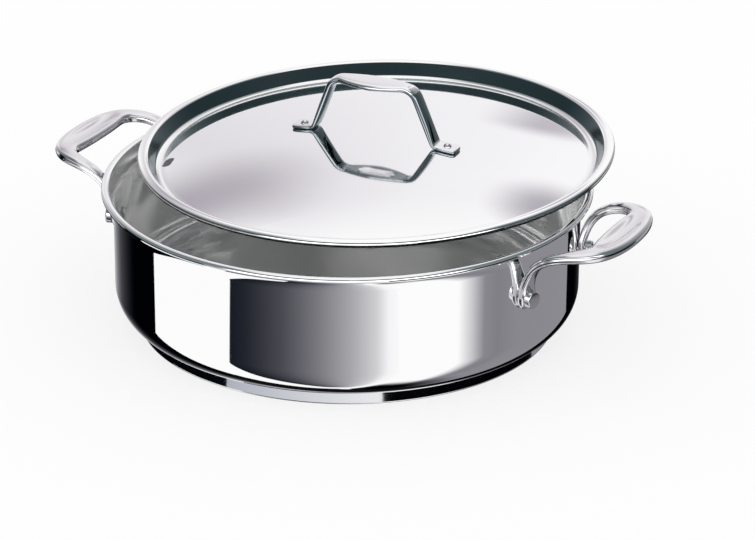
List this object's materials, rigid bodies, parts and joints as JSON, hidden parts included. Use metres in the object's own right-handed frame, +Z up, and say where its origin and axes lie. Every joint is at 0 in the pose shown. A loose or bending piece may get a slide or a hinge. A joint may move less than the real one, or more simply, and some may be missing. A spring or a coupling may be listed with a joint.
{
  "type": "braiser with lid",
  "caption": "Shallow round stainless steel braiser with a sandwich base, riveted loop handles on both sides and a domed lid lying askew on its rim.",
  "frame": {"origin": "centre of the base's underside, on the pan's axis", "axes": "+Z up along the pan's axis, +X towards the right side handle, -Y towards the front of the pan"},
  "size_m": [0.3822, 0.3274, 0.1438],
  "materials": {
    "polished_steel": "mirror-polished stainless steel",
    "cast_steel": "softly polished cast stainless steel",
    "rivet_steel": "satin stainless steel",
    "core_aluminium": "plain, hidden between two sheets of steel"
  },
  "bodies": {
    "pan": {"pan_shell": "polished_steel", "base_core": "core_aluminium", "base_cap": "polished_steel", "left_side_handle": "cast_steel", "left_handle_front_rivet": "rivet_steel", "left_handle_back_rivet": "rivet_steel", "right_side_handle": "cast_steel", "right_handle_front_rivet": "rivet_steel", "right_handle_back_rivet": "rivet_steel"},
    "lid": {"lid_shell": "polished_steel", "lid_handle": "cast_steel", "lid_handle_left_rivet": "rivet_steel", "lid_handle_right_rivet": "rivet_steel"}
  },
  "joints": [
    {"name": "lid_lift", "type": "slide", "parent": "pan", "child": "lid", "axis": [0, 0, 1], "range_m": [0, 0.1]}
  ]
}
